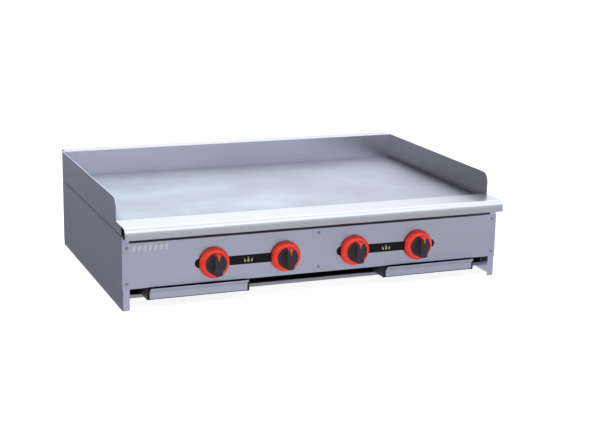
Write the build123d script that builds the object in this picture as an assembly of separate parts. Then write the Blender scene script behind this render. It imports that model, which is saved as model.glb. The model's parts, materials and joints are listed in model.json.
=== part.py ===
from build123d import *
import os

# Counter-top gas griddle, in millimetres: X to the right, Y to the back, Z up.
# Every shape is drawn with Y = 0 at the front face of the control panel. It is moved by FRONT when it is
# written, so that the origin ends at the middle of the whole object's box, on the surface it stands on.

# Overall size
WIDTH = 1219.0
DEPTH = 800.0  # housing, from the control panel's face to the back panel's face
HOUSING_TOP = 222.0
TOTAL_HEIGHT = 322.0
KNOB_REACH = 50.0  # in front of the control panel
FLUE_REACH = 46.0  # behind the back panel
HALF = WIDTH / 2
FRONT = KNOB_REACH - (KNOB_REACH + DEPTH + FLUE_REACH) / 2

# Sheet metal
SHEET = 1.2
BEND = 2.0  # bend radius on the sheet's middle line
CORNER_FLANGE = 22.0
TOP_FLANGE = 25.0
PANEL_LOW = 64.5
PANEL_HIGH = 203.0
PANEL_RETURN = 15.0
RETURN_HALF = HALF - CORNER_FLANGE - 2.0
INNER_HALF = HALF - SHEET - 0.3
RAIL_SHEET = 1.5

# Cooking top
PLATE_THICKNESS = 15.0
PLATE_TOP = HOUSING_TOP + PLATE_THICKNESS
SPLASH_SHEET = 2.0
SPLASH_FRONT = 65.0
STEP_FRONT = 10.0  # front end of the low step that carries the ledge
FLANGE_TOP = 214.0
SPLASH_CORNER = 28.0
SEAM = 2.8  # open joint between the splash guard and the housing
PLATE_FRONT = 128.0
BACK_SPLASH_SHEET = 1.5
PLATE_BACK = DEPTH - BACK_SPLASH_SHEET
PLATE_HALF = HALF - SPLASH_SHEET

# Front ledge
LEDGE_TOP = 254.0
LEDGE_LOW = 218.0
LEDGE_SHEET = 1.5
LEDGE_REACH = 39.0
LEDGE_BACK = 73.75
NOSE_RADIUS = 18.0
LEDGE_LIP = 13.0
LIP_RADIUS = 5.0

# Grease trough, chutes and drawers
TROUGH_FRONT = 76.0
TROUGH_BACK = 133.0
TROUGH_FLOOR = 196.0
TROUGH_RIM = 238.0
TROUGH_HALF = 605.5
TROUGH_BEND = 6.0
CHUTE_X = 400.0
CHUTE_Y = 102.0
CHUTE_WIDTH = 60.0
CHUTE_DEPTH = 36.0
CHUTE_END = 62.0
DRAWER_X = 378.0
DRAWER_FACE_HALF = 150.0
DRAWER_FACE_LOW = 30.0
DRAWER_FACE_HIGH = 50.0
DRAWER_LIP = 13.5
TRAY_HALF = 156.0
TRAY_LENGTH = 378.0
TRAY_LOW = 27.6
TRAY_HIGH = 58.6
TRAY_SHEET = 1.0
RUNNER_GAP = 1.0
RUNNER_LEG = 12.0
RUNNER_HIGH = 60.6
RUNNER_START = 4.0
PAN_TOP = 26.0
PAN_FRONT = 75.0
PAN_LIP = 12.0
PAN_FLANGE = 15.0

# Controls
KNOB_X = (-333.0, -108.0, 118.0, 333.0)
KNOB_Z = 125.0
STEM_HOLE = 9.0
LABEL_LENGTH = 333.0
LABEL_REACH = 59.0  # to the left of its first knob's axis
LABEL_HEIGHT = 28.0
LABEL_SHEET = 0.6
EMBLEM_BARS = 7
EMBLEM_PITCH = 16.2
EMBLEM_LEFT = -581.0
EMBLEM_LOW = 177.0
EMBLEM_HEIGHT = 16.0
EMBLEM_SLANT = 4.0
EMBLEM_BAR = 9.0
EMBLEM_RAISE = 1.2
SKIRT_RADIUS = 47.0
SKIRT_BACK = 4.6
SKIRT_FRONT = 22.0
SKIRT_WALL = 2.5
GRIP_RADIUS = 32.0
GRIP_BASE = 28.5
BAR_HALF = 12.5
BAR_FOOT = 18.0
POINTER_HALF = (0.9, 2.4, 6.5)  # half widths at its tip, its waist and its outer end
POINTER_TIP = 15.0
POINTER_WAIST = 25.0
BOSS_RADIUS = 8.0
STEM_RADIUS = 4.0
STEM_FLAT = 2.6  # from the stem's axis to its flat
STEM_FRONT = -32.0
STEM_BACK = 30.0
FIT = 0.05

# Gas train
PIPE_RADIUS = 13.335
PIPE_WALL = 2.87
MANIFOLD_Y = 45.0
MANIFOLD_Z = 90.0
MANIFOLD_LEFT = -430.0
SUPPLY_X = 571.0
INLET_REACH = 32.0
THREAD_RADIUS = 13.1
THREAD_LENGTH = 20.0
THREAD_NECK = 12.5  # radius of the relief behind the thread
VALVE_RADIUS = 12.0
VALVE_FRONT = 14.0
VALVE_BACK = 56.0
BONNET = 4.0
PLUG_RADIUS = 8.0
PLUG_FRONT = 20.0
PLUG_BACK = 50.0
SPRING_BACK = 38.0
HOOD_FRONT = 60.0
HOOD_BACK = 86.0
HOOD_RADIUS = 7.0

# Burners
LEG_PITCH = 152.0
BURNER_RADIUS = 19.0
BURNER_WALL = 2.0
HEADER_Y = 190.0
HEADER_RADIUS = 21.0
BURNER_END = 690.0
MIXER_RADIUS = 14.0
DRUM_RADIUS = 22.0
DRUM_FRONT = 80.0
DRUM_BACK = 104.0
SHUTTER_WALL = 1.5
PORTS = 14
BAFFLE_Y = 150.0
PILOT_X = (-288.0, -156.0, 156.0, 288.0)
PILOT_RADIUS = 3.2
PILOT_Z = 155.0

# Flue
FLUE_HALF = 598.0
FLUE_LOW = 140.0
FLUE_WINDOWS = (-370.0, 0.0, 370.0)  # middles of the back panel's openings
FLUE_WINDOW_HALF = 170.0
FLUE_SLOT_X = [140.0 * i - 490.0 for i in range(8)]
FLUE_SLOT_Z = 275.0
FLUE_SLOT_LENGTH = 110.0
FLUE_SLOT_HEIGHT = 14.0

# Fasteners
SCREW_RADIUS = 2.0
HEAD_RADIUS = 4.4
HEAD_HEIGHT = 2.4
SCREW_LENGTH = 12.0
PANEL_SCREWS = [(x, z) for x in (-596.0, 0.0, 596.0) for z in (82.5, 188.5)]
REAR_SCREWS = [(x, z) for x in (-603.0, 603.0) for z in (40.0, 100.0, 160.0, 200.0)]


def slab(x0, x1, y0, y1, z0, z1):
    """Box between two corners."""
    return Pos((x0 + x1) / 2, (y0 + y1) / 2, (z0 + z1) / 2) * Box(x1 - x0, y1 - y0, z1 - z0)


def x_rod(y, z, radius, x0, x1):
    """Cylinder along X."""
    return Pos((x0 + x1) / 2, y, z) * Rot(0, 90, 0) * Cylinder(radius, x1 - x0)


def y_rod(x, z, radius, y0, y1):
    """Cylinder along Y."""
    return Pos(x, (y0 + y1) / 2, z) * Rot(90, 0, 0) * Cylinder(radius, y1 - y0)


def z_rod(x, y, radius, z0, z1):
    """Cylinder along Z."""
    return Pos(x, y, (z0 + z1) / 2) * Cylinder(radius, z1 - z0)


def moved_in(end, neighbour, amount):
    """An end point moved towards its neighbour."""
    return Vector(*end) + (Vector(*neighbour) - Vector(*end)).normalized() * amount


def band(points, bends, thickness):
    """Flat outline, with round ends, of a bent sheet whose middle line runs through the points."""
    first = moved_in(points[0], points[1], thickness / 2)
    last = moved_in(points[-1], points[-2], thickness / 2)
    line = FilletPolyline(first, *points[1:-1], last, radius=bends)
    return make_face(offset(line, amount=thickness / 2, side=Side.BOTH).edges())


def fold(points, bends, thickness, x0, x1):
    """Bent sheet between x0 and x1, drawn as (y, z) points of its middle line."""
    outline = Plane.YZ.offset(x0) * band(points, bends, thickness)
    return extrude(outline, amount=x1 - x0, dir=(1, 0, 0))


def mirrored(shape):
    """The same shape on the other side of the middle plane."""
    return mirror(shape, about=Plane.YZ)


def joined(shapes):
    """One group of separate solids."""
    return Compound(children=[solid for shape in shapes for solid in shape.solids()])


def each_side(shape):
    """A shape and its mirror image, as a group of separate solids."""
    return joined([shape, mirrored(shape)])


# Housing


def side_panel():
    """Left side wall, which is also the leg, with its bent front, rear and top edges."""
    wall_x = -HALF + SHEET / 2
    flange_x = -HALF + CORNER_FLANGE
    front_y = 1.5 * SHEET
    rear_y = DEPTH - 1.5 * SHEET
    plan = [(flange_x, front_y), (wall_x, front_y), (wall_x, rear_y), (flange_x, rear_y)]
    wall = extrude(band(plan, BEND, SHEET), amount=HOUSING_TOP, dir=(0, 0, 1))
    wall -= slab(-HALF + 2 * BEND, flange_x + 1, 0, 2 * BEND, FLANGE_TOP, HOUSING_TOP + 1)
    wall += slab(wall_x, -HALF + TOP_FLANGE, TROUGH_BACK + 5, rear_y - 5, HOUSING_TOP - SHEET, HOUSING_TOP)
    for x, z in PANEL_SCREWS[:2]:
        wall -= y_rod(x, z, SCREW_RADIUS + 0.1, 0, 5)
    for x, z in REAR_SCREWS[:4]:
        wall -= y_rod(x, z, SCREW_RADIUS + 0.1, DEPTH - 5, DEPTH)
    return wall


def back_panel():
    """Rear wall with the flue openings and the gas pipe's hole."""
    inner_y = DEPTH - SHEET / 2
    lower = 1.5 * PAN_LIP
    profile = [(inner_y, lower), (inner_y, HOUSING_TOP - SHEET / 2), (inner_y - 20, HOUSING_TOP - SHEET / 2)]
    flange_half = HALF - TOP_FLANGE - 1
    panel = fold(profile, BEND, SHEET, -flange_half, flange_half)
    panel += slab(-HALF, -flange_half, DEPTH - SHEET, DEPTH, lower, HOUSING_TOP)
    panel += slab(flange_half, HALF, DEPTH - SHEET, DEPTH, lower, HOUSING_TOP)
    for x in FLUE_WINDOWS:
        panel -= slab(x - FLUE_WINDOW_HALF, x + FLUE_WINDOW_HALF, DEPTH - 5, DEPTH + 5, 150, 204)
    panel -= y_rod(SUPPLY_X, MANIFOLD_Z, PIPE_RADIUS + 1.5, DEPTH - 5, DEPTH + 5)
    for x, z in REAR_SCREWS:
        panel -= y_rod(x, z, SCREW_RADIUS + 0.1, DEPTH - 5, DEPTH + 5)
    return panel


def bottom_pan():
    """Shelf under the drawers and burners, with its front lip and its side flanges."""
    rear_y = DEPTH - 3 * SHEET
    middle_z = PAN_TOP - SHEET / 2
    front_y = PAN_FRONT + SHEET / 2
    profile = [(front_y, PAN_TOP - PAN_LIP), (front_y, middle_z), (rear_y, middle_z)]
    pan = fold(profile, BEND, SHEET, -INNER_HALF, INNER_HALF)
    for side in (-1, 1):
        edges = sorted((side * INNER_HALF, side * (INNER_HALF - SHEET)))
        pan += slab(*edges, PAN_FRONT + 5, rear_y, middle_z, PAN_TOP + PAN_FLANGE)
    return pan


def front_rail():
    """Angle under the front ledge, between the side panels."""
    top = HOUSING_TOP - 0.5 - RAIL_SHEET / 2
    points = [(20 + RAIL_SHEET / 2, TROUGH_FLOOR), (20 + RAIL_SHEET / 2, top), (66, top)]
    return fold(points, BEND, RAIL_SHEET, -INNER_HALF, INNER_HALF)


def plate_supports():
    """Two angle bars that stiffen the underside of the plate."""
    top = HOUSING_TOP - 1.5
    half = HALF - TOP_FLANGE - 1
    return joined([fold([(y, 195), (y, top), (y + 28, top)], 4, 3, -half, half) for y in (300, 560)])


def heat_baffle():
    """Wall between the valves and the fire, with holes for the burners and pilot tubes."""
    left = -HALF + TOP_FLANGE + 1
    right = SUPPLY_X - PIPE_RADIUS - 2.5
    baffle = slab(left, right, BAFFLE_Y, BAFFLE_Y + SHEET, CHUTE_END + 2, HOUSING_TOP - 0.5)
    for x in KNOB_X:
        baffle -= y_rod(x, KNOB_Z, MIXER_RADIUS + 1, BAFFLE_Y - 5, BAFFLE_Y + 5)
    for x in PILOT_X:
        baffle -= y_rod(x, PILOT_Z, PILOT_RADIUS + 1, BAFFLE_Y - 5, BAFFLE_Y + 5)
    return baffle


def burner_rail():
    """Angle that carries the rear ends of the burners."""
    top = KNOB_Z - BURNER_RADIUS - RAIL_SHEET / 2 - 0.3
    rear = BURNER_END + 6
    return fold([(rear - 30, top), (rear, top), (rear, top + 34)], BEND, RAIL_SHEET, -INNER_HALF, INNER_HALF)


def control_panel():
    """Full-width front sheet with bent top and bottom edges."""
    middle_y = SHEET / 2
    low = PANEL_LOW + SHEET / 2
    high = PANEL_HIGH - SHEET / 2
    profile = [(PANEL_RETURN, low), (middle_y, low), (middle_y, high), (PANEL_RETURN, high)]
    panel = fold(profile, BEND, SHEET, -RETURN_HALF, RETURN_HALF)
    for x0, x1 in ((-HALF, -RETURN_HALF), (RETURN_HALF, HALF)):
        panel += slab(x0, x1, 0, SHEET, PANEL_LOW, PANEL_HIGH)
    for x in KNOB_X:
        panel -= y_rod(x, KNOB_Z, STEM_HOLE, -5, 5)
    for x, z in PANEL_SCREWS:
        panel -= y_rod(x, z, SCREW_RADIUS + 0.1, -5, 5)
    return panel


def centre_bracket():
    """Upright channel behind the middle of the control panel."""
    plan = [(-15, 20), (-15, SHEET * 1.6), (15, SHEET * 1.6), (15, 20)]
    bracket = Pos(0, 0, PANEL_LOW + 3) * extrude(
        band(plan, BEND, SHEET), amount=PANEL_HIGH - PANEL_LOW - 6, dir=(0, 0, 1)
    )
    for x, z in PANEL_SCREWS:
        bracket -= y_rod(x, z, SCREW_RADIUS + 0.1, -5, 5)
    return bracket


def screw(x, y, z, into):
    """Pan-head screw with a cross recess; into is +1 where it points to the back."""
    head = sorted((y, y - into * HEAD_HEIGHT))
    shank = sorted((y, y + into * SCREW_LENGTH))
    dome = fillet(y_rod(x, z, HEAD_RADIUS, *head).edges().group_by(Axis.Y)[0 if into > 0 else -1], 1.2)
    body = dome + y_rod(x, z, SCREW_RADIUS, *shank)
    face = y - into * HEAD_HEIGHT
    cut = sorted((face - into, face + into))
    body -= slab(x - 2.2, x + 2.2, *cut, z - 0.45, z + 0.45)
    return body - slab(x - 0.45, x + 0.45, *cut, z - 2.2, z + 2.2)


def panel_screws():
    """Screws that hold the control panel."""
    return joined([screw(x, 0, z, 1) for x, z in PANEL_SCREWS])


def rear_screws():
    """Screws that hold the back panel; the upper ones hold the flue box too."""
    return joined([screw(x, DEPTH + (RAIL_SHEET if z > FLUE_LOW else 0), z, -1) for x, z in REAR_SCREWS])


def label_strip(first, last):
    """Thin black plate with round ends behind a pair of knobs."""
    outline = SlotOverall(LABEL_LENGTH, LABEL_HEIGHT)
    place = Plane.XZ * Pos(first - LABEL_REACH + LABEL_LENGTH / 2, KNOB_Z)
    strip = extrude(place * outline, amount=LABEL_SHEET, dir=(0, -1, 0))
    for x in (first, last):
        strip -= y_rod(x, KNOB_Z, STEM_HOLE, -5, 5)
    return strip


def panel_emblem():
    """Row of plain slanted bars raised on the control panel."""
    slanted = [(x + EMBLEM_SLANT, EMBLEM_HEIGHT) for x in (EMBLEM_BAR, 0)]
    bar = Polygon((0, 0), (EMBLEM_BAR, 0), *slanted, align=None)
    places = [Plane.XZ * Pos(EMBLEM_LEFT + EMBLEM_PITCH * i, EMBLEM_LOW) for i in range(EMBLEM_BARS)]
    return joined([extrude(place * bar, amount=EMBLEM_RAISE, dir=(0, -1, 0)) for place in places])


# Cooking top


def front_ledge():
    """Rolled front edge over the control panel."""
    high = LEDGE_TOP - LEDGE_SHEET / 2
    nose = -LEDGE_REACH + LEDGE_SHEET / 2
    rear = LEDGE_BACK - LEDGE_SHEET / 2
    low = LEDGE_LOW + LEDGE_SHEET / 2
    points = [(rear, TROUGH_RIM - 6), (rear, high), (nose, high), (nose, low), (nose + LEDGE_LIP, low)]
    ledge = fold(points, [BEND, NOSE_RADIUS, LIP_RADIUS], LEDGE_SHEET, -HALF, HALF)
    for side in (-1, 1):
        ends = sorted((side * (PLATE_HALF - 0.1), side * (HALF + 1)))
        ledge -= slab(*ends, SPLASH_FRONT - 0.1, LEDGE_BACK + 1, 200, LEDGE_TOP + 1)
    return ledge


def splash_side():
    """Left wall of the splash guard, which steps down at the front to carry the ledge."""
    low = HOUSING_TOP + SEAM
    step = LEDGE_TOP - LEDGE_SHEET
    bend_z = TOTAL_HEIGHT - SPLASH_CORNER
    bend_y = SPLASH_FRONT + SPLASH_CORNER
    outline = [
        Line((STEP_FRONT, low), (STEP_FRONT, step)),
        Line((STEP_FRONT, step), (SPLASH_FRONT, step)),
        Line((SPLASH_FRONT, step), (SPLASH_FRONT, bend_z)),
        RadiusArc((SPLASH_FRONT, bend_z), (bend_y, TOTAL_HEIGHT), SPLASH_CORNER),
        Line((bend_y, TOTAL_HEIGHT), (DEPTH, TOTAL_HEIGHT)),
        Line((DEPTH, TOTAL_HEIGHT), (DEPTH, low)),
        Line((DEPTH, low), (STEP_FRONT, low)),
    ]
    return extrude(Plane.YZ.offset(-HALF) * make_face(outline), amount=SPLASH_SHEET, dir=(1, 0, 0))


def back_splash():
    """Rear wall of the splash guard, bent back over the flue box."""
    wall = DEPTH - BACK_SPLASH_SHEET / 2
    top = TOTAL_HEIGHT - BACK_SPLASH_SHEET / 2
    rear = DEPTH + FLUE_REACH - BACK_SPLASH_SHEET / 2
    points = [(wall, HOUSING_TOP), (wall, top), (rear, top), (rear, top - 13)]
    sheet = fold(points, BEND, BACK_SPLASH_SHEET, -PLATE_HALF + 0.1, PLATE_HALF - 0.1)
    for side in (-1, 1):
        ends = sorted((side * (FLUE_HALF + 2), side * HALF))
        sheet -= slab(*ends, DEPTH + 0.2, DEPTH + FLUE_REACH + 1, HOUSING_TOP, TOTAL_HEIGHT + 1)
    return sheet


def griddle_plate():
    """Thick steel cooking plate."""
    plate = slab(-PLATE_HALF, PLATE_HALF, PLATE_FRONT, PLATE_BACK, HOUSING_TOP, PLATE_TOP)
    return fillet(plate.edges().filter_by(Axis.X).group_by(Axis.Y)[0], 3)


def grease_trough():
    """Channel between the plate and the ledge, with a drop hole over each chute."""
    points = [
        (TROUGH_FRONT, TROUGH_RIM),
        (TROUGH_FRONT, TROUGH_FLOOR),
        (TROUGH_BACK, TROUGH_FLOOR),
        (TROUGH_BACK, HOUSING_TOP),
    ]
    trough = fold(points, TROUGH_BEND, SHEET, -TROUGH_HALF, TROUGH_HALF)
    low = TROUGH_FLOOR - SHEET / 2
    front = TROUGH_FRONT - SHEET / 2
    for side in (-1, 1):
        ends = sorted((side * TROUGH_HALF, side * (TROUGH_HALF + SHEET)))
        trough += slab(*ends, front, PLATE_FRONT - 0.3, low, TROUGH_RIM)
        trough += slab(*ends, PLATE_FRONT - 0.3, TROUGH_BACK + SHEET / 2, low, HOUSING_TOP)
        trough -= chute_bore(side * CHUTE_X, low - 5, low + 5)
    return trough


def chute_bore(x, z0, z1):
    """Clear inside of a chute."""
    half_x = CHUTE_WIDTH / 2 - SHEET
    half_y = CHUTE_DEPTH / 2 - SHEET
    return slab(x - half_x, x + half_x, CHUTE_Y - half_y, CHUTE_Y + half_y, z0, z1)


def grease_chutes():
    """Square pipes from the trough down to the drawers."""
    top = TROUGH_FLOOR - SHEET / 2
    half_x = CHUTE_WIDTH / 2
    half_y = CHUTE_DEPTH / 2
    chute = slab(CHUTE_X - half_x, CHUTE_X + half_x, CHUTE_Y - half_y, CHUTE_Y + half_y, CHUTE_END, top)
    return each_side(chute - chute_bore(CHUTE_X, CHUTE_END - 1, top + 1))


# Grease drawers


def drawer_front(x):
    """Drawer face with the flared lip that serves as its handle."""
    face_y = SHEET / 2
    lip = (face_y - DRAWER_LIP, DRAWER_FACE_HIGH + DRAWER_LIP)
    points = [(face_y, DRAWER_FACE_LOW), (face_y, DRAWER_FACE_HIGH), lip]
    return fold(points, BEND, SHEET, x - DRAWER_FACE_HALF, x + DRAWER_FACE_HALF)


def drawer_tray(x):
    """Open tray that catches the grease."""
    rear = SHEET + TRAY_LENGTH
    tray = slab(x - TRAY_HALF, x + TRAY_HALF, SHEET, rear, TRAY_LOW, TRAY_HIGH)
    tray = fillet(tray.edges().filter_by(Axis.Z), 4)
    half = TRAY_HALF - TRAY_SHEET
    floor = TRAY_LOW + TRAY_SHEET
    inside = slab(x - half, x + half, SHEET + TRAY_SHEET, rear - TRAY_SHEET, floor, TRAY_HIGH + 1)
    return tray - fillet(inside.edges().filter_by(Axis.Z), 3)


def drawer_runners():
    """Channels on the shelf, one at each side of each drawer."""
    web = TRAY_HALF + RUNNER_GAP + SHEET / 2
    low = PAN_TOP + SHEET / 2
    high = RUNNER_HIGH - SHEET / 2
    section = [(web - RUNNER_LEG, low), (web, low), (web, high), (web - RUNNER_LEG, high)]
    face = Plane.XZ.offset(-RUNNER_START) * band(section, BEND, SHEET)
    runner = extrude(face, amount=TRAY_LENGTH, dir=(0, 1, 0))
    pair = [Pos(DRAWER_X, 0, 0) * runner, Pos(DRAWER_X, 0, 0) * mirrored(runner)]
    return joined(pair + [mirrored(one) for one in pair])


# Controls


def at_knob(x, shape):
    """Moves a shape from the Y axis to a knob's axis."""
    return Pos(x, 0, KNOB_Z) * shape


def d_rod(radius, flat, y0, y1):
    """Rod along the Y axis with one flat on its top."""
    return y_rod(0, 0, radius, y0, y1) - slab(-radius, radius, y0 - 1, y1 + 1, flat, radius + 1)


def pointer(gap, outer, y0, y1):
    """Wedge that marks the knob's setting, out to a radius and larger all round by a gap."""
    point, waist, wide = (half + gap for half in POINTER_HALF)
    flare = (wide - waist) / (GRIP_RADIUS - POINTER_WAIST)
    end = waist + flare * (outer - POINTER_WAIST)
    tip = POINTER_TIP - gap
    left = [(-end, outer), (-waist, POINTER_WAIST), (-point, tip)]
    face = Polygon(*left, *[(-x, z) for x, z in reversed(left)], align=None)
    return extrude(Plane.XZ.offset(-y0) * face, amount=y0 - y1, dir=(0, -1, 0))


def knob_skirt():
    """Red dished ring with the pointer, which shows through the grip."""
    rim = SKIRT_RADIUS
    wall = SKIRT_WALL
    outline = [
        Line((BOSS_RADIUS + FIT, -SKIRT_FRONT), (33.5, -SKIRT_FRONT)),
        ThreePointArc((33.5, -SKIRT_FRONT), (42.2, -16), (rim, -7)),
        Line((rim, -7), (rim, -SKIRT_BACK)),
        Line((rim, -SKIRT_BACK), (rim - wall, -SKIRT_BACK)),
        Line((rim - wall, -SKIRT_BACK), (rim - wall, -6.5)),
        ThreePointArc((rim - wall, -6.5), (40.2, -14.2), (32.5, -SKIRT_FRONT + wall)),
        Line((32.5, -SKIRT_FRONT + wall), (BOSS_RADIUS + FIT, -SKIRT_FRONT + wall)),
        Line((BOSS_RADIUS + FIT, -SKIRT_FRONT + wall), (BOSS_RADIUS + FIT, -SKIRT_FRONT)),
    ]
    dish = revolve(make_face(outline), axis=Axis.Y)
    return dish + pointer(0, GRIP_RADIUS, -SKIRT_FRONT, -KNOB_REACH)


def knob_grip():
    """Black grip: a round base and a tall bar with hollowed flanks."""
    outline = [
        Line((0, -SKIRT_FRONT), (GRIP_RADIUS, -SKIRT_FRONT)),
        Line((GRIP_RADIUS, -SKIRT_FRONT), (GRIP_RADIUS, -GRIP_BASE + 3)),
        RadiusArc((GRIP_RADIUS, -GRIP_BASE + 3), (GRIP_RADIUS - 3, -GRIP_BASE), 3),
        Line((GRIP_RADIUS - 3, -GRIP_BASE), (0, -GRIP_BASE)),
        Line((0, -GRIP_BASE), (0, -SKIRT_FRONT)),
    ]
    base = revolve(make_face(outline), axis=Axis.Y)
    section = [
        Line((-BAR_FOOT, -GRIP_BASE + 1), (BAR_FOOT, -GRIP_BASE + 1)),
        ThreePointArc((BAR_FOOT, -GRIP_BASE + 1), (14, -33), (BAR_HALF, -KNOB_REACH)),
        Line((BAR_HALF, -KNOB_REACH), (-BAR_HALF, -KNOB_REACH)),
        ThreePointArc((-BAR_HALF, -KNOB_REACH), (-14, -33), (-BAR_FOOT, -GRIP_BASE + 1)),
    ]
    bar = Pos(0, 0, -GRIP_RADIUS) * extrude(make_face(section), amount=2 * GRIP_RADIUS, dir=(0, 0, 1))
    bar &= y_rod(0, 0, GRIP_RADIUS - 0.5, -KNOB_REACH - 1, -SKIRT_FRONT)
    bar = fillet(bar.faces().sort_by(Axis.Y)[0].edges(), 1.6)
    grip = base + bar + y_rod(0, 0, BOSS_RADIUS, -SKIRT_FRONT - 1, -6)
    grip -= pointer(FIT, GRIP_RADIUS + 1, -SKIRT_FRONT + 1, -KNOB_REACH - 1)
    return grip - d_rod(STEM_RADIUS + FIT, STEM_FLAT + FIT, STEM_FRONT - FIT, 0)


def valve_stem():
    """Stem with one flat and a collar that stops it against the bonnet."""
    return d_rod(STEM_RADIUS, STEM_FLAT, STEM_FRONT, STEM_BACK) + y_rod(0, 0, 6.5, 14.2, 16.2)


def valve_plug():
    """Turning plug of the gas valve, with its ports and the stem's socket."""
    plug = y_rod(0, 0, PLUG_RADIUS - FIT, PLUG_FRONT, PLUG_BACK - 0.2)
    plug -= d_rod(STEM_RADIUS + 0.1, STEM_FLAT + 0.1, PLUG_FRONT - 1, SPRING_BACK)
    plug -= y_rod(0, 0, 2.5, SPRING_BACK + 4, PLUG_BACK + 1)
    return plug - z_rod(0, SPRING_BACK + 6, 2.5, -PLUG_RADIUS, 0)


def stem_spring():
    """Coil that pushes the stem and knob back out."""
    wire = 0.4
    height = SPRING_BACK - STEM_BACK - 2 * wire - 0.1
    coil = Helix(pitch=height / 4, height=height, radius=1.9)
    turns = sweep(Plane(origin=coil @ 0, z_dir=coil % 0) * Circle(wire), path=coil)
    return Pos(0, SPRING_BACK - wire - 0.05, 0) * Rot(90, 0, 0) * turns


def valve_bodies():
    """Brass valve bodies on the manifold, each with its bonnet as a separate solid."""
    body = y_rod(0, 0, VALVE_RADIUS, VALVE_FRONT, VALVE_BACK)
    body += z_rod(0, MANIFOLD_Y, 9, MANIFOLD_Z + PIPE_RADIUS + 1 - KNOB_Z, 0)
    body += z_rod(0, MANIFOLD_Y, 6, MANIFOLD_Z + PIPE_RADIUS - 5 - KNOB_Z, 0)
    body += y_rod(0, 0, 5, VALVE_BACK, HOOD_FRONT + 6)
    body -= y_rod(0, 0, PLUG_RADIUS, VALVE_FRONT - 1, PLUG_BACK)
    body -= y_rod(0, 0, 2.5, PLUG_BACK - 1, HOOD_FRONT + 7)
    body -= z_rod(0, MANIFOLD_Y, 3.5, MANIFOLD_Z - KNOB_Z, -PLUG_RADIUS + 1)
    bonnet = y_rod(0, 0, VALVE_RADIUS + 2, VALVE_FRONT - BONNET, VALVE_FRONT)
    bonnet -= y_rod(0, 0, STEM_RADIUS + 0.1, VALVE_FRONT - BONNET - 1, VALVE_FRONT + 1)
    return joined([at_knob(x, piece) for x in KNOB_X for piece in (body, bonnet)])


# Gas train


def manifold_pipe():
    """Pipe across the front with a closed left end and a tapped hole under each valve."""
    right = SUPPLY_X - 22
    pipe = x_rod(MANIFOLD_Y, MANIFOLD_Z, PIPE_RADIUS, MANIFOLD_LEFT, right)
    pipe -= x_rod(MANIFOLD_Y, MANIFOLD_Z, PIPE_RADIUS - PIPE_WALL, MANIFOLD_LEFT + 4, right + 1)
    for x in KNOB_X:
        pipe -= z_rod(x, MANIFOLD_Y, 6 + FIT, MANIFOLD_Z, MANIFOLD_Z + 20)
    for x in PILOT_X:
        pipe -= z_rod(x, MANIFOLD_Y, PILOT_RADIUS + FIT, MANIFOLD_Z, MANIFOLD_Z + 20)
    return pipe


def pipe_elbow():
    """Elbow that turns the manifold towards the back."""
    outer = PIPE_RADIUS + 3.5
    socket = PIPE_RADIUS + FIT
    bore = PIPE_RADIUS - PIPE_WALL
    elbow = x_rod(MANIFOLD_Y, MANIFOLD_Z, outer, SUPPLY_X - 36, SUPPLY_X)
    elbow += y_rod(SUPPLY_X, MANIFOLD_Z, outer, MANIFOLD_Y, MANIFOLD_Y + 36)
    elbow += Pos(SUPPLY_X, MANIFOLD_Y, MANIFOLD_Z) * Sphere(outer)
    elbow -= x_rod(MANIFOLD_Y, MANIFOLD_Z, socket, SUPPLY_X - 37, SUPPLY_X - 22)
    elbow -= y_rod(SUPPLY_X, MANIFOLD_Z, socket, MANIFOLD_Y + 22, MANIFOLD_Y + 37)
    elbow -= x_rod(MANIFOLD_Y, MANIFOLD_Z, bore, SUPPLY_X - 23, SUPPLY_X)
    elbow -= y_rod(SUPPLY_X, MANIFOLD_Z, bore, MANIFOLD_Y, MANIFOLD_Y + 23)
    return elbow - Pos(SUPPLY_X, MANIFOLD_Y, MANIFOLD_Z) * Sphere(bore)


def supply_pipe():
    """Pipe from the elbow to the gas inlet, whose plain end stands in for the pipe thread."""
    front = MANIFOLD_Y + 22
    end = DEPTH + INLET_REACH
    thread = end - THREAD_LENGTH
    pipe = y_rod(SUPPLY_X, MANIFOLD_Z, PIPE_RADIUS, front, thread - 2)
    pipe += y_rod(SUPPLY_X, MANIFOLD_Z, THREAD_NECK, thread - 3, thread + 1)
    pipe += y_rod(SUPPLY_X, MANIFOLD_Z, THREAD_RADIUS, thread, end)
    return pipe - y_rod(SUPPLY_X, MANIFOLD_Z, PIPE_RADIUS - PIPE_WALL, front - 1, end + 1)


def manifold_hangers():
    """Clamps that hang the manifold from the front rail."""
    clamp = x_rod(MANIFOLD_Y, MANIFOLD_Z, PIPE_RADIUS + 4, -12, 12)
    clamp += slab(-12, 12, MANIFOLD_Y + 12, MANIFOLD_Y + 15, MANIFOLD_Z, HOUSING_TOP - 0.5 - RAIL_SHEET)
    clamp -= x_rod(MANIFOLD_Y, MANIFOLD_Z, PIPE_RADIUS + FIT, -13, 13)
    return joined([Pos(x, 0, 0) * clamp for x in (-222, 0, 222)])


def orifice_hoods():
    """Brass orifice on each valve's outlet."""
    hood = y_rod(0, 0, HOOD_RADIUS, HOOD_FRONT, HOOD_BACK)
    hood = chamfer(hood.edges().group_by(Axis.Y)[-1], 3)
    hood -= y_rod(0, 0, 5 + FIT, HOOD_FRONT - 1, HOOD_FRONT + 12)
    hood -= y_rod(0, 0, 0.9, HOOD_FRONT, HOOD_BACK + 1)
    return joined([at_knob(x, hood) for x in KNOB_X])


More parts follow.
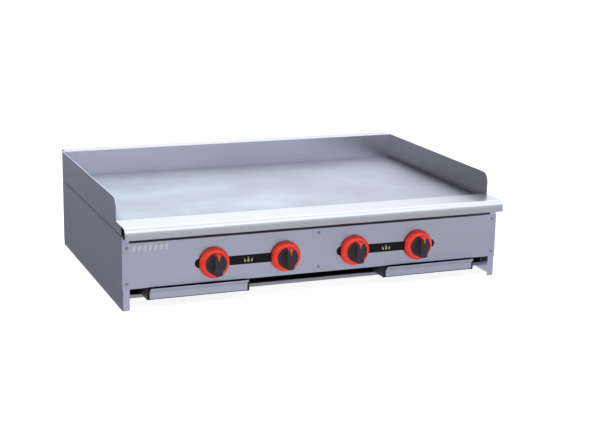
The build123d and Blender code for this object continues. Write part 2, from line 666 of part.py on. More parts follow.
def pilot_tubes():
    """Thin tubes from the manifold to the pilot flames, each with its tip."""
    corner = (0, MANIFOLD_Y, PILOT_Z)
    route = FilletPolyline((0, MANIFOLD_Y, MANIFOLD_Z + 11.5), corner, (0, 208, PILOT_Z), radius=20)
    section = Plane(origin=route @ 0, z_dir=route % 0)
    tube = sweep(section * Circle(PILOT_RADIUS), path=route) - sweep(section * Circle(2.2), path=route)
    tip = y_rod(0, PILOT_Z, 5.5, 196, 212) - y_rod(0, PILOT_Z, PILOT_RADIUS - 0.5, 190, 213)
    return joined([Pos(x, 0, 0) * (tube + tip) for x in PILOT_X])


# Burners


def windows(radius, y0, y1):
    """Three radial cutters for the air openings."""
    cutter = slab(-8, 8, y0, y1, radius - 8, radius + 4)
    return [Rot(0, angle, 0) * cutter for angle in (0, 120, 240)]


def burner(x, legs):
    """Two burner tubes on a header, fed through a mixing tube with an air drum."""
    wall = BURNER_WALL
    reach = BURNER_RADIUS + 2
    ends = (min(legs + [x]) - reach, max(legs + [x]) + reach)
    outer = x_rod(HEADER_Y, KNOB_Z, HEADER_RADIUS, *ends)
    inner = x_rod(HEADER_Y, KNOB_Z, HEADER_RADIUS - wall, ends[0] + wall, ends[1] - wall)
    for leg in legs:
        outer += y_rod(leg, KNOB_Z, BURNER_RADIUS, HEADER_Y, BURNER_END)
        inner += y_rod(leg, KNOB_Z, BURNER_RADIUS - wall, HEADER_Y, BURNER_END - wall)
    outer += y_rod(x, KNOB_Z, MIXER_RADIUS, DRUM_BACK - 1, HEADER_Y)
    inner += y_rod(x, KNOB_Z, MIXER_RADIUS - wall, DRUM_BACK - 2, HEADER_Y)
    outer += y_rod(x, KNOB_Z, DRUM_RADIUS, DRUM_FRONT, DRUM_BACK)
    inner += y_rod(x, KNOB_Z, DRUM_RADIUS - 1.5, DRUM_FRONT + 1.5, DRUM_BACK - 1.5)
    inner += y_rod(x, KNOB_Z, HOOD_RADIUS + 0.5, DRUM_FRONT - 1, DRUM_FRONT + 2)
    body = outer - inner
    for cutter in windows(DRUM_RADIUS, DRUM_FRONT + 6, DRUM_BACK - 6):
        body -= at_knob(x, cutter)
    pitch = (BURNER_END - HEADER_Y - 60) / (PORTS - 1)
    ports = [slab(leg - 10, leg + 10, y, y + 3, KNOB_Z + 14, KNOB_Z + 30)
             for leg in legs for y in [HEADER_Y + 30 + i * pitch for i in range(PORTS)]]
    return body - ports


def burners():
    """All four burners, each with two legs that are evenly spaced under the plate."""
    first = -3.5 * LEG_PITCH
    legs = [[first + (2 * i + j) * LEG_PITCH for j in (0, 1)] for i in range(4)]
    return joined([burner(x, pair) for x, pair in zip(KNOB_X, legs)])


def air_shutter():
    """Sleeve that turns on the air drum to open or close its windows."""
    front = DRUM_FRONT + 3
    rear = DRUM_BACK - 3
    sleeve = y_rod(0, 0, DRUM_RADIUS + SHUTTER_WALL, front, rear)
    sleeve -= y_rod(0, 0, DRUM_RADIUS + FIT, front - 1, rear + 1)
    for cutter in windows(DRUM_RADIUS, DRUM_FRONT + 6, DRUM_BACK - 6):
        sleeve -= cutter
    return sleeve


# Flue


def flue_box():
    """Shallow duct on the back that leads the burnt gas up to a row of slots."""
    rear = DEPTH + FLUE_REACH - BACK_SPLASH_SHEET
    top = TOTAL_HEIGHT - BACK_SPLASH_SHEET - BEND
    box = slab(-FLUE_HALF, FLUE_HALF, DEPTH, rear, FLUE_LOW, top)
    inside = FLUE_HALF - RAIL_SHEET
    box -= slab(-inside, inside, DEPTH - 1, rear - RAIL_SHEET, FLUE_LOW + RAIL_SHEET, top + 1)
    for side in (-1, 1):
        ends = sorted((side * (FLUE_HALF - 1), side * (FLUE_HALF + 10)))
        box += slab(*ends, DEPTH, DEPTH + RAIL_SHEET, FLUE_LOW, HOUSING_TOP - 5)
    for x, z in REAR_SCREWS:
        if z > FLUE_LOW:
            box -= y_rod(x, z, SCREW_RADIUS + 0.1, DEPTH - 1, DEPTH + 5)
    slot = extrude(Plane.XZ * SlotOverall(FLUE_SLOT_LENGTH, FLUE_SLOT_HEIGHT), amount=6, dir=(0, -1, 0))
    return box - [Pos(x, rear + 2, FLUE_SLOT_Z) * slot for x in FLUE_SLOT_X]


def nodes():
    """Every node of the griddle by name."""
    side = side_panel()
    splash = splash_side()
    skirt = knob_skirt()
    grip = knob_grip()
    stem = valve_stem()
    plug = valve_plug()
    spring = stem_spring()
    shutter = air_shutter()
    table = {
        "side_panel_left": side,
        "side_panel_right": mirrored(side),
        "back_panel": back_panel(),
        "bottom_pan": bottom_pan(),
        "front_rail": front_rail(),
        "plate_supports": plate_supports(),
        "heat_baffle": heat_baffle(),
        "burner_rail": burner_rail(),
        "control_panel": control_panel(),
        "centre_bracket": centre_bracket(),
        "panel_screws": panel_screws(),
        "rear_screws": rear_screws(),
        "label_strip_left": label_strip(*KNOB_X[:2]),
        "label_strip_right": label_strip(*KNOB_X[2:]),
        "panel_emblem": panel_emblem(),
        "front_ledge": front_ledge(),
        "splash_left": splash,
        "splash_right": mirrored(splash),
        "back_splash": back_splash(),
        "griddle_plate": griddle_plate(),
        "grease_trough": grease_trough(),
        "grease_chutes": grease_chutes(),
        "drawer_runners": drawer_runners(),
        "drawer_front_left": drawer_front(-DRAWER_X),
        "drawer_front_right": drawer_front(DRAWER_X),
        "drawer_tray_left": drawer_tray(-DRAWER_X),
        "drawer_tray_right": drawer_tray(DRAWER_X),
        "flue_box": flue_box(),
        "manifold_pipe": manifold_pipe(),
        "pipe_elbow": pipe_elbow(),
        "supply_pipe": supply_pipe(),
        "manifold_hangers": manifold_hangers(),
        "burners": burners(),
        "orifice_hoods": orifice_hoods(),
        "valve_bodies": valve_bodies(),
        "pilot_tubes": pilot_tubes(),
    }
    for number, x in enumerate(KNOB_X, start=1):
        table[f"valve_plug_{number}"] = at_knob(x, plug)
        table[f"valve_stem_{number}"] = at_knob(x, stem)
        table[f"stem_spring_{number}"] = at_knob(x, spring)
        table[f"knob_skirt_{number}"] = at_knob(x, skirt)
        table[f"knob_grip_{number}"] = at_knob(x, grip)
        table[f"air_shutter_{number}"] = at_knob(x, shutter)
    return table


os.makedirs("parts", exist_ok=True)
for name, shape in nodes().items():
    export_step(Pos(0, FRONT, 0) * shape, f"parts/{name}.step")
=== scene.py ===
import json
import math

import bmesh
import bpy
from mathutils import Matrix, Vector


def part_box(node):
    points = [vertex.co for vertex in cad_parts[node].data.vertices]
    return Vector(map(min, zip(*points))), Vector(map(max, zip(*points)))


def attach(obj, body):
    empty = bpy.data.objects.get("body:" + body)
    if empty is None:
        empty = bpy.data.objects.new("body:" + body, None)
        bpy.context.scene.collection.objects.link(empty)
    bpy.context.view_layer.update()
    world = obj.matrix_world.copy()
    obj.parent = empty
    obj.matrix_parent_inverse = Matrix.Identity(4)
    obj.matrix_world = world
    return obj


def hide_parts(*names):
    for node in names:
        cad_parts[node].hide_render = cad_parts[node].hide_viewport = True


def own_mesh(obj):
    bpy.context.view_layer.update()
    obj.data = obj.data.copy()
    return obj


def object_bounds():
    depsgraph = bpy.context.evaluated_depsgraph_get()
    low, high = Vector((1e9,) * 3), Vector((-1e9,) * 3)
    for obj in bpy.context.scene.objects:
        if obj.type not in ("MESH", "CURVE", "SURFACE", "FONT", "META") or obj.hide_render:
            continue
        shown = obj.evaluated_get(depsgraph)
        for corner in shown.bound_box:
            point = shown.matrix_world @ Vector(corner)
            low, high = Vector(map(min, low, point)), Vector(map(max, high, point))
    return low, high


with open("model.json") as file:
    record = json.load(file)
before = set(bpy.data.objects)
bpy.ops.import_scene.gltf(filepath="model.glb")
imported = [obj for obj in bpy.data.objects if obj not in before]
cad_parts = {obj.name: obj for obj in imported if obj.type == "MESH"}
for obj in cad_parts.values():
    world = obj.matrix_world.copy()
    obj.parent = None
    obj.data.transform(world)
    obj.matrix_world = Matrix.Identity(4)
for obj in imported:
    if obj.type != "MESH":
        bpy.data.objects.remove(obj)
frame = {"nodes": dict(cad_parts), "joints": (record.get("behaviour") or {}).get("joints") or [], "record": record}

CAD_LOW, CAD_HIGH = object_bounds()
NODES = frame["nodes"]
SLOT_OF = {row["node"]: row["material_slot"] for row in frame["record"]["subparts"]}

# Camera: place in metres, angles in degrees, lens and film width in millimetres
CAMERA_PLACE = (-1.523, -4.040, 1.203)
CAMERA_YAW = 21.85
CAMERA_PITCH = 13.89
CAMERA_ROLL = 1.06
CAMERA_LENS = 80.96
CAMERA_FILM = 36.0

# World: strengths of the studio's parts. The backdrop makes all of it plain white to the camera.
WORLD_DARK = 0.05
WORLD_LEFT_END = 0.6
WORLD_FRONT = 0.55
WORLD_BACK = 1.2
WORLD_TOP = 1.85
WORLD_ZENITH = 0.62
WORLD_LEFT = 1.28
WORLD_RIGHT = 0.72
WORLD_BACKDROP = 1.1
WORLD_TINT = (0.93, 0.96, 1.0, 1.0)

# World: where one part gives way to the next, as X, Y or Z of the unit direction
DOORWAY_LEFT_X = (-0.85, -0.65)
DOORWAY_RIGHT_X = (-0.35, 0.3)
DOORWAY_FRONT_Y = (-0.3, 0.2)
FRONT_TO_BACK_Y = (-0.7, 0.4)
WALL_TO_TOP_Z = (0.25, 0.62)
TOP_TO_ZENITH_Z = (0.8, 0.96)
LEFT_TO_RIGHT_X = (0.15, 0.6)

# Sun: angle across its disc in degrees
SUN_POWER = 1.6
SUN_ANGLE = 70.0
SUN_DIRECTION = (-0.25, 0.15, -1.0)

# Floor, lengths in metres
FLOOR_HALF = 60.0
FLOOR_DROP = 0.0002
FLOOR_GREY = 0.3
FLOOR_GLOW = 0.85

# Table top, lengths in metres: its glow left and right of a step in X, and the shares of that glow
# which are left at its far right and in front
TABLE_HALF = 3.5
TABLE_LIFT = 0.0008
TABLE_LEFT = 0.165
TABLE_RIGHT = 0.56
TABLE_FADE = 0.9
TABLE_FRONT = 0.8
TABLE_STEP_X = (CAD_LOW.x - 0.004, CAD_LOW.x + 0.012)
TABLE_FADE_X = (-0.2, CAD_HIGH.x)
TABLE_FRONT_Y = (-1.5, -1.15)
TABLE_TINT = (0.95, 0.97, 1.0, 1.0)
TABLE_HIDDEN_FROM = ("camera", "diffuse", "transmission", "volume_scatter", "shadow")

# Painted shade: a darker strip on the plate where it meets its splash guard, standing in for the guard's shadow
# and reflection
SPLASH_SHADE_WIDTH = 0.055
SPLASH_SHADE_REAR = 0.4
SPLASH_SHADE_FALLOFF = 1.5

# Share of violet across the plate, and the stretch of X in metres over which it grows
VIOLET_SHARE = (-0.35, 0.7)
VIOLET_X = (-0.4, 0.55)

# Mark on the label strips, lengths in metres and the lean in radians. A flame's half width is a share
# of its height, wide at the foot and narrower by the taper at the tip.
FLAME_POINTS = 40
FLAME_HEIGHTS = (0.013, 0.017, 0.013)
FLAME_FOOT = 0.3
FLAME_TAPER = 0.24
FLAME_POWER = 1.3
MARK_PITCH = 0.0095
MARK_LEAN = 0.3
MARK_DROP = 0.0075
MARK_LIFT = 0.0002


class Nodes:
    """Short way to build one node tree."""

    # Sockets of a colour Mix node, whose names its other data types share
    MIX_A = 6
    MIX_B = 7
    MIX_RESULT = 2

    def __init__(self, tree):
        self.tree = tree
        self.tree.nodes.clear()

    def add(self, kind, inputs=None, **settings):
        node = self.tree.nodes.new(kind)
        for key, value in settings.items():
            setattr(node, key, value)
        for key, value in (inputs or {}).items():
            self.feed(node, key, value)
        return node

    def feed(self, node, key, value):
        if isinstance(value, bpy.types.NodeSocket):
            self.tree.links.new(value, node.inputs[key])
        else:
            node.inputs[key].default_value = value

    def object_coordinates(self, scale):
        coordinates = self.add("ShaderNodeTexCoord").outputs["Object"]
        return self.add("ShaderNodeMapping", {"Vector": coordinates, "Scale": scale}).outputs["Vector"]

    def noise(self, scale, detail=4.0, roughness=0.55, distortion=0.0):
        """Noise from 0 to 1; scale is in cycles a metre along X, Y and Z."""
        inputs = {
            "Vector": self.object_coordinates(scale),
            "Scale": 1.0,
            "Detail": detail,
            "Roughness": roughness,
            "Distortion": distortion,
        }
        return self.add("ShaderNodeTexNoise", inputs).outputs["Fac"]

    def spread(self, value, low, high, clamp_from=(0.25, 0.75)):
        """Maps one stretch of a value onto another and clamps it to its ends."""
        inputs = {
            "Value": value,
            "From Min": clamp_from[0],
            "From Max": clamp_from[1],
            "To Min": low,
            "To Max": high,
        }
        return self.add("ShaderNodeMapRange", inputs).outputs["Result"]

    def math(self, operation, a, b):
        node = self.add("ShaderNodeMath", operation=operation)
        self.feed(node, 0, a)
        self.feed(node, 1, b)
        return node.outputs["Value"]

    def blend(self, factor, a, b):
        node = self.add("ShaderNodeMix", data_type="RGBA")
        self.feed(node, "Factor", factor)
        self.feed(node, self.MIX_A, a)
        self.feed(node, self.MIX_B, b)
        return node.outputs[self.MIX_RESULT]

    def bump(self, height, strength, distance, normal=None):
        inputs = {"Height": height, "Strength": strength, "Distance": distance}
        if normal is not None:
            inputs["Normal"] = normal
        return self.add("ShaderNodeBump", inputs).outputs["Normal"]

    def position(self):
        """The X, Y and Z sockets of a point on the object, in metres."""
        coordinates = self.add("ShaderNodeTexCoord").outputs["Object"]
        return self.add("ShaderNodeSeparateXYZ", {"Vector": coordinates}).outputs


def new_material(name):
    material = bpy.data.materials.new(name)
    material.use_nodes = True
    return material, Nodes(material.node_tree)


def close(nodes, inputs):
    """Ends a tree in a Principled shader."""
    shader = nodes.add("ShaderNodeBsdfPrincipled", inputs)
    output = nodes.add("ShaderNodeOutputMaterial")
    nodes.tree.links.new(shader.outputs["BSDF"], output.inputs["Surface"])


def shade(colour, factor):
    return (colour[0] * factor, colour[1] * factor, colour[2] * factor, 1.0)


AXIS = {"x": 0, "y": 1, "z": 2}


def along(axis, long, short):
    """Noise scale that draws streaks along one axis: cycles a metre along it, and across it."""
    scale = [short, short, short]
    scale[AXIS[axis]] = long
    return tuple(scale)


def brushed(name, colour, grain="x", rough=(0.31, 0.35), streak=0.02, cloud=0.05):
    """Brushed sheet: fine hairlines, faint broad streaks and cloudy handling marks."""
    material, nodes = new_material(name)
    fine = nodes.noise(along(grain, long=14.0, short=1500.0), detail=2.0)
    broad = nodes.noise(along(grain, long=0.9, short=45.0), detail=3.0)
    marks = nodes.noise((6.0, 6.0, 6.0), detail=2.0, roughness=0.5)
    streaks = nodes.math("ADD", nodes.math("MULTIPLY", fine, 0.6), nodes.math("MULTIPLY", broad, 0.4))
    dark, light = shade(colour, 1 - streak), shade(colour, 1 + streak)
    base = nodes.blend(nodes.spread(streaks, 0.0, 1.0, (0.38, 0.62)), dark, light)
    base = nodes.blend(nodes.spread(marks, 0.0, cloud * 2), base, shade(colour, 0.72))
    roughness = nodes.spread(streaks, rough[0], rough[1], (0.35, 0.65))
    roughness = nodes.math("ADD", roughness, nodes.spread(marks, -0.01, 0.02))
    normal = nodes.bump(fine, 0.02, 0.0001)
    close(nodes, {"Base Color": base, "Metallic": 1.0, "Roughness": roughness, "Normal": normal})
    return material


def edge_painted_shade(nodes):
    """Painted shade mask: grows to 1 in a narrow strip along the plate's left and right edges, and to less along
    its rear, where the splash guard's shadow and reflection fall.
    """
    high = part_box("griddle_plate")[1]
    place = nodes.position()
    sides = nodes.math("ABSOLUTE", place["X"], 0.0)
    sides = nodes.spread(sides, 0.0, 1.0, (high.x - SPLASH_SHADE_WIDTH, high.x))
    rear = nodes.spread(place["Y"], 0.0, SPLASH_SHADE_REAR, (high.y - SPLASH_SHADE_WIDTH, high.y))
    return nodes.math("POWER", nodes.math("MAXIMUM", sides, rear), SPLASH_SHADE_FALLOFF)


def plate_steel(name, colour):
    """Ground cooking plate: fine grinding lines under soft clouds that turn from blue to violet along X, with
    painted shade where it meets the splash guard.
    """
    material, nodes = new_material(name)
    lines = nodes.noise(along("x", long=9.0, short=900.0), detail=2.0)
    swaths = nodes.noise(along("x", long=1.1, short=26.0), detail=3.0, distortion=0.3)
    clouds = nodes.noise((5.0, 5.0, 5.0), detail=5.0, roughness=0.6, distortion=0.5)
    tints = nodes.noise((3.5, 3.5, 3.5), detail=3.0)
    across = nodes.spread(nodes.position()["X"], *VIOLET_SHARE, VIOLET_X)
    violet = nodes.math("ADD", nodes.spread(tints, 0.0, 0.9, (0.4, 0.6)), across)
    base = nodes.blend(violet, shade(colour, 1.0), PLATE_VIOLET)
    base = nodes.blend(nodes.spread(swaths, 0.0, 0.55, (0.3, 0.7)), base, shade(colour, 0.86))
    base = nodes.blend(nodes.spread(clouds, 0.0, 0.75, (0.35, 0.65)), base, shade(colour, 0.8))
    # Painted shade: darkens the plate along the splash guard, in place of the guard's shadow and reflection
    painted_shade = nodes.math("MULTIPLY", edge_painted_shade(nodes), nodes.spread(clouds, 0.75, 1.0))
    base = nodes.blend(painted_shade, base, PLATE_PAINTED_SHADE)
    roughness = nodes.math("ADD", nodes.spread(lines, 0.44, 0.5), nodes.spread(clouds, -0.03, 0.05))
    roughness = nodes.math("ADD", roughness, nodes.spread(swaths, -0.02, 0.03))
    normal = nodes.bump(lines, 0.1, 0.0001)
    normal = nodes.bump(clouds, 0.05, 0.003, normal)
    close(nodes, {"Base Color": base, "Metallic": 1.0, "Roughness": roughness, "Normal": normal})
    return material


def galvanised(name, colour):
    """Zinc-coated sheet with a faint spangle."""
    material, nodes = new_material(name)
    inputs = {"Vector": nodes.object_coordinates((90.0, 90.0, 90.0)), "Scale": 1.0}
    spangle = nodes.add("ShaderNodeTexVoronoi", inputs).outputs["Color"]
    grey = nodes.add("ShaderNodeSeparateColor", {"Color": spangle}).outputs["Red"]
    stains = nodes.noise((7.0, 7.0, 7.0), detail=5.0)
    base = nodes.blend(grey, shade(colour, 0.88), shade(colour, 1.1))
    base = nodes.blend(nodes.spread(stains, 0.0, 0.3), base, shade(colour, 0.6))
    roughness = nodes.spread(grey, 0.38, 0.52, (0.0, 1.0))
    roughness = nodes.math("ADD", roughness, nodes.spread(stains, -0.04, 0.08))
    normal = nodes.bump(stains, 0.2, 0.001)
    close(nodes, {"Base Color": base, "Metallic": 1.0, "Roughness": roughness, "Normal": normal})
    return material


def turned(name, colour, rough=(0.2, 0.32)):
    """Turned metal with fine rings along Y."""
    material, nodes = new_material(name)
    rings = nodes.noise((20.0, 2500.0, 20.0), detail=2.0)
    stains = nodes.noise((60.0, 60.0, 60.0), detail=4.0)
    base = nodes.blend(nodes.spread(stains, 0.0, 0.5), shade(colour, 1.0), shade(colour, 0.65))
    roughness = nodes.math("ADD", nodes.spread(rings, *rough), nodes.spread(stains, -0.03, 0.1))
    close(nodes, {"Base Color": base, "Metallic": 1.0, "Roughness": roughness,
                  "Normal": nodes.bump(rings, 0.15, 0.0001)})
    return material


def coated(name, colour, rough=(0.35, 0.5)):
    """Dull black coating on steel pipe."""
    material, nodes = new_material(name)
    grain = nodes.noise((500.0, 500.0, 500.0), detail=3.0)
    worn = nodes.noise((25.0, 25.0, 25.0), detail=6.0, roughness=0.65)
    base = nodes.blend(nodes.spread(worn, 0.0, 1.0, (0.55, 0.75)), shade(colour, 1.0), shade(colour, 2.4))
    roughness = nodes.math("ADD", nodes.spread(grain, *rough), nodes.spread(worn, -0.05, 0.08))
    close(nodes, {"Base Color": base, "Metallic": 0.2, "Roughness": roughness,
                  "Normal": nodes.bump(grain, 0.3, 0.0003)})
    return material


def plastic(name, colour, rough=(0.3, 0.42), gloss=0.5, mottled=0.06):
    """Moulded plastic with a fine skin texture and slight uneven sheen."""
    material, nodes = new_material(name)
    skin = nodes.noise((1800.0, 1800.0, 1800.0), detail=2.0)
    sheen = nodes.noise((40.0, 40.0, 40.0), detail=4.0)
    base = nodes.blend(nodes.spread(sheen, 0.0, 1.0), shade(colour, 1 - mottled), shade(colour, 1 + mottled))
    roughness = nodes.math("ADD", nodes.spread(skin, *rough), nodes.spread(sheen, -0.03, 0.05))
    close(nodes, {"Base Color": base, "Metallic": 0.0, "Roughness": roughness,
                  "Specular IOR Level": gloss, "Normal": nodes.bump(skin, 0.2, 0.0002)})
    return material


PANEL = (0.635, 0.645, 0.795)
SIDE = (0.705, 0.685, 0.895)
SPLASH = (0.632, 0.61, 0.7)
# Painted shade: a darker copy of the splash steel for the right splash guard, whose inner face sits in shade
SPLASH_SHADED = (0.57, 0.548, 0.565)
SPLASH_ROUGH = (0.27, 0.29)
PLATE_VIOLET = (0.466, 0.45, 0.535, 1.0)
# Colour of the painted shade along the plate's splash guard
PLATE_PAINTED_SHADE = (0.06, 0.045, 0.06, 1.0)
MARK_GOLD = (0.3, 0.24, 0.13)
MATERIALS = {
    "housing_steel": lambda n: brushed(n, PANEL),
    "splash_steel": lambda n: brushed(n, SPLASH, rough=SPLASH_ROUGH, streak=0.015),
    "ledge_steel": lambda n: brushed(n, (0.68, 0.685, 0.745), rough=(0.32, 0.35), streak=0.008, cloud=0.02),
    "plate_steel": lambda n: plate_steel(n, (0.585, 0.646, 0.7)),
    "trough_steel": lambda n: brushed(n, (0.42, 0.42, 0.45)),
    "drawer_steel": lambda n: brushed(n, (0.635, 0.645, 0.77)),
    # Painted shade: the drawer trays get a near-black colour for the shade under the unit that their sides reflect
    "tray_steel": lambda n: brushed(n, (0.05, 0.05, 0.058), grain="y"),
    "shelf_steel": lambda n: brushed(n, (0.42, 0.42, 0.46)),
    "inner_steel": lambda n: galvanised(n, (0.16, 0.16, 0.165)),
    "flue_steel": lambda n: galvanised(n, (0.55, 0.55, 0.565)),
    "emblem_steel": lambda n: brushed(n, (0.85, 0.85, 0.93), rough=(0.25, 0.3)),
    "screw_steel": lambda n: turned(n, (0.4, 0.4, 0.47), rough=(0.15, 0.25)),
    "label_black": lambda n: plastic(n, (0.004, 0.004, 0.006), rough=(0.25, 0.35), gloss=0.2),
    "dial_red": lambda n: plastic(n, (0.74, 0.03, 0.013), rough=(0.2, 0.28), gloss=0.45),
    "grip_black": lambda n: plastic(n, (0.022, 0.02, 0.025), rough=(0.3, 0.42), gloss=0.4),
    "stem_steel": lambda n: turned(n, (0.55, 0.55, 0.56)),
    "spring_steel": lambda n: turned(n, (0.45, 0.45, 0.46)),
    "shutter_steel": lambda n: galvanised(n, (0.5, 0.5, 0.48)),
    "brass": lambda n: turned(n, (0.72, 0.5, 0.2)),
    "pipe_black": lambda n: coated(n, (0.045, 0.045, 0.045)),
    "burner_steel": lambda n: galvanised(n, (0.38, 0.37, 0.35)),
    "tube_aluminium": lambda n: turned(n, (0.72, 0.72, 0.73), rough=(0.3, 0.4)),
}
SIDE_SHEETS = ("side_panel_left", "side_panel_right", "splash_left")


def paint_nodes():
    """Gives each CAD node its slot's material, apart from the sheets whose grain runs front to back; the right
    splash guard's is a darker copy of the splash steel, as painted shade.
    """
    made = {slot: make(slot) for slot, make in MATERIALS.items()}
    side = brushed("side_sheet", SIDE, grain="y")
    special = {name: side for name in SIDE_SHEETS}
    # Painted shade: the right splash guard gets a darker copy of the splash steel
    shaded_splash = brushed("splash_sheet_shaded", SPLASH_SHADED, grain="y", rough=SPLASH_ROUGH, streak=0.015)
    special["splash_right"] = shaded_splash
    for name, node in NODES.items():
        material = special.get(name, made[SLOT_OF[name]])
        node.data.materials.clear()
        node.data.materials.append(material)


def make_camera():
    """Camera at its place, turned by its yaw, pitch and roll, with no shift."""
    yaw, pitch, roll = (math.radians(v) for v in (CAMERA_YAW, CAMERA_PITCH, CAMERA_ROLL))
    forward = Vector((math.sin(yaw) * math.cos(pitch), math.cos(yaw) * math.cos(pitch), -math.sin(pitch)))
    right = Vector((math.cos(yaw), -math.sin(yaw), 0.0))
    up = right.cross(forward)
    turned_right = math.cos(roll) * right + math.sin(roll) * up
    turned_up = math.cos(roll) * up - math.sin(roll) * right
    data = bpy.data.cameras.new("camera")
    data.lens = CAMERA_LENS
    data.sensor_width = CAMERA_FILM
    camera = bpy.data.objects.new("camera", data)
    bpy.context.scene.collection.objects.link(camera)
    turn = Matrix((turned_right, turned_up, -forward)).transposed()
    camera.matrix_world = Matrix.Translation(CAMERA_PLACE) @ turn.to_4x4()
    bpy.context.scene.camera = camera


def flat_square(name, half, height):
    """Level square, part of the studio."""
    mesh = bpy.data.meshes.new(name)
    corners = [(-half, -half, 0), (half, -half, 0), (half, half, 0), (-half, half, 0)]
    mesh.from_pydata(corners, [], [(0, 1, 2, 3)])
    square = bpy.data.objects.new(name, mesh)
    bpy.context.scene.collection.objects.link(square)
    square.location.z = height
    return square


def make_floor():
    """Grey floor that glows by itself, so that it stays even and nearly white."""
    floor = flat_square("floor", FLOOR_HALF, CAD_LOW.z - FLOOR_DROP)
    material, nodes = new_material("floor")
    close(nodes, {
        "Base Color": (FLOOR_GREY, FLOOR_GREY, FLOOR_GREY, 1.0),
        "Roughness": 0.9,
        "Emission Color": (1.0, 1.0, 1.0, 1.0),
        "Emission Strength": FLOOR_GLOW,
    })
    floor.data.materials.append(material)


def make_world():
    """Studio that the metal reflects, behind a plain white backdrop that only the camera sees.

    It is bright behind and above, and dimmer in front, towards the zenith and to the right, with a dark
    doorway behind on the left.
    """
    world = bpy.data.worlds.new("world")
    bpy.context.scene.world = world
    world.use_nodes = True
    nodes = Nodes(world.node_tree)
    direction = nodes.add("ShaderNodeTexCoord").outputs["Generated"]
    parts = nodes.add("ShaderNodeSeparateXYZ", {"Vector": direction}).outputs
    left_edge = nodes.spread(parts["X"], WORLD_LEFT_END, 0.0, DOORWAY_LEFT_X)
    right_edge = nodes.spread(parts["X"], 0.0, 1.0, DOORWAY_RIGHT_X)
    front_edge = nodes.spread(parts["Y"], WORLD_LEFT_END, 0.0, DOORWAY_FRONT_Y)
    lit = nodes.math("MAXIMUM", nodes.math("MAXIMUM", left_edge, right_edge), front_edge)
    side = nodes.spread(lit, WORLD_DARK, 1.0, (0.0, 1.0))
    wall = nodes.spread(parts["Y"], WORLD_FRONT, WORLD_BACK, FRONT_TO_BACK_Y)
    height = nodes.spread(parts["Z"], 0.0, 1.0, WALL_TO_TOP_Z)
    low = nodes.math("MULTIPLY", wall, nodes.math("SUBTRACT", 1.0, height))
    high = nodes.math("MULTIPLY", height, WORLD_TOP)
    high = nodes.math("MULTIPLY", high, nodes.spread(parts["Z"], 1.0, WORLD_ZENITH, TOP_TO_ZENITH_Z))
    fade = nodes.spread(parts["X"], WORLD_LEFT, WORLD_RIGHT, LEFT_TO_RIGHT_X)
    strength = nodes.math("MULTIPLY", side, nodes.math("ADD", low, high))
    strength = nodes.math("MULTIPLY", strength, fade)
    seen = nodes.add("ShaderNodeLightPath").outputs["Is Camera Ray"]
    strength = nodes.math("MAXIMUM", strength, nodes.math("MULTIPLY", seen, WORLD_BACKDROP))
    background = nodes.add("ShaderNodeBackground", {"Color": WORLD_TINT, "Strength": strength})
    output = nodes.add("ShaderNodeOutputWorld")
    world.node_tree.links.new(background.outputs["Background"], output.inputs["Surface"])


def make_sun():
    """Broad soft sun that reflections don't see."""
    data = bpy.data.lights.new("sun", "SUN")
    data.energy = SUN_POWER
    data.angle = math.radians(SUN_ANGLE)
    sun = bpy.data.objects.new("sun", data)
    bpy.context.scene.collection.objects.link(sun)
    sun.visible_glossy = False
    sun.rotation_mode = "QUATERNION"
    sun.rotation_quaternion = Vector(SUN_DIRECTION).to_track_quat("-Z", "Y")


def make_table():
    """Glowing grey table top that only reflections see.

    It is dark on the left of the part and pale under it, and a little dimmer towards its right and front.
    """
    table = flat_square("table", TABLE_HALF, CAD_LOW.z + TABLE_LIFT)
    material, nodes = new_material("table")
    place = nodes.position()
    glow = nodes.spread(place["X"], TABLE_LEFT, TABLE_RIGHT, TABLE_STEP_X)
    glow = nodes.math("MULTIPLY", glow, nodes.spread(place["X"], 1.0, TABLE_FADE, TABLE_FADE_X))
    glow = nodes.math("MULTIPLY", glow, nodes.spread(place["Y"], TABLE_FRONT, 1.0, TABLE_FRONT_Y))
    shader = nodes.add("ShaderNodeEmission", {"Color": TABLE_TINT, "Strength": glow})
    output = nodes.add("ShaderNodeOutputMaterial")
    nodes.tree.links.new(shader.outputs["Emission"], output.inputs["Surface"])
    table.data.materials.append(material)
    for ray in TABLE_HIDDEN_FROM:
        setattr(table, "visible_" + ray, False)


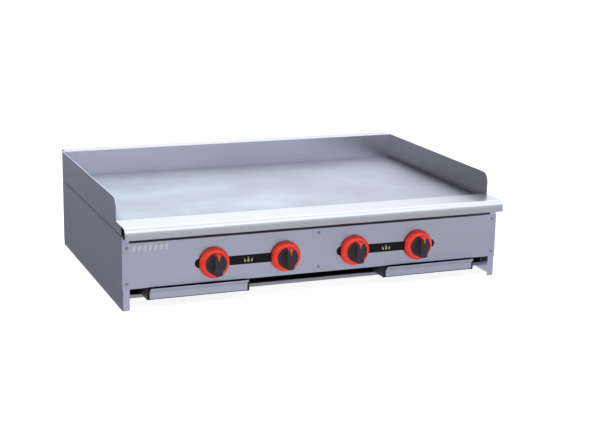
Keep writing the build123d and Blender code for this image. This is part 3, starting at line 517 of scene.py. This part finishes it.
def flame_outline(height, lean):
    """Points of one leaning flame, round at its foot and pointed at its tip."""
    points = []
    for i in range(FLAME_POINTS):
        turn = 2 * math.pi * i / FLAME_POINTS
        rise = (1 + math.cos(turn)) / 2
        across = math.sin(turn) * (FLAME_FOOT - FLAME_TAPER * rise) * height
        upward = rise ** FLAME_POWER * height
        x = across * math.cos(lean) + upward * math.sin(lean)
        z = upward * math.cos(lean) - across * math.sin(lean)
        points.append((x, z))
    return points


def make_mark(name, strip):
    """Generic gas mark: three thin flames that fan out, laid on the middle of a label strip."""
    low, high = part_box(strip)
    centre = (low + high) / 2
    foot = centre.z - MARK_DROP
    shape = bmesh.new()
    for step, height in zip((-1, 0, 1), FLAME_HEIGHTS):
        outline = flame_outline(height, step * MARK_LEAN)
        x = centre.x + step * MARK_PITCH
        back = [shape.verts.new((x + dx, low.y, foot + dz)) for dx, dz in outline]
        face = [shape.verts.new((x + dx, low.y - MARK_LIFT, foot + dz)) for dx, dz in outline]
        shape.faces.new(back)
        shape.faces.new(face)
        for i in range(FLAME_POINTS):
            j = (i + 1) % FLAME_POINTS
            shape.faces.new((back[i], back[j], face[j], face[i]))
    bmesh.ops.recalc_face_normals(shape, faces=shape.faces)
    mesh = bpy.data.meshes.new(name)
    shape.to_mesh(mesh)
    shape.free()
    mark = bpy.data.objects.new(name, mesh)
    bpy.context.scene.collection.objects.link(mark)
    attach(mark, "housing")
    return mark


def make_marks():
    material = plastic("mark_gold", MARK_GOLD, rough=(0.35, 0.5))
    for side in ("left", "right"):
        mark = make_mark("label_mark_" + side, "label_strip_" + side)
        mark.data.materials.append(material)


def make_springs():
    """Valve springs, each a copy of its CAD coil in its place, that ride on their knobs' rotors."""
    for joint in frame["joints"]:
        if not joint["name"].endswith("_push"):
            continue
        number = joint["name"].split("_")[1]
        node = "stem_spring_" + number
        spring = bpy.data.objects.new("spring_coil_" + number, NODES[node].data.copy())
        bpy.context.scene.collection.objects.link(spring)
        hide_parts(node)
        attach(spring, "valve_rotor_" + number)
        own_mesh(spring)


paint_nodes()
make_marks()
make_springs()
make_camera()
make_floor()
make_world()
make_sun()
make_table()
bpy.context.scene.view_settings.view_transform = "Standard"
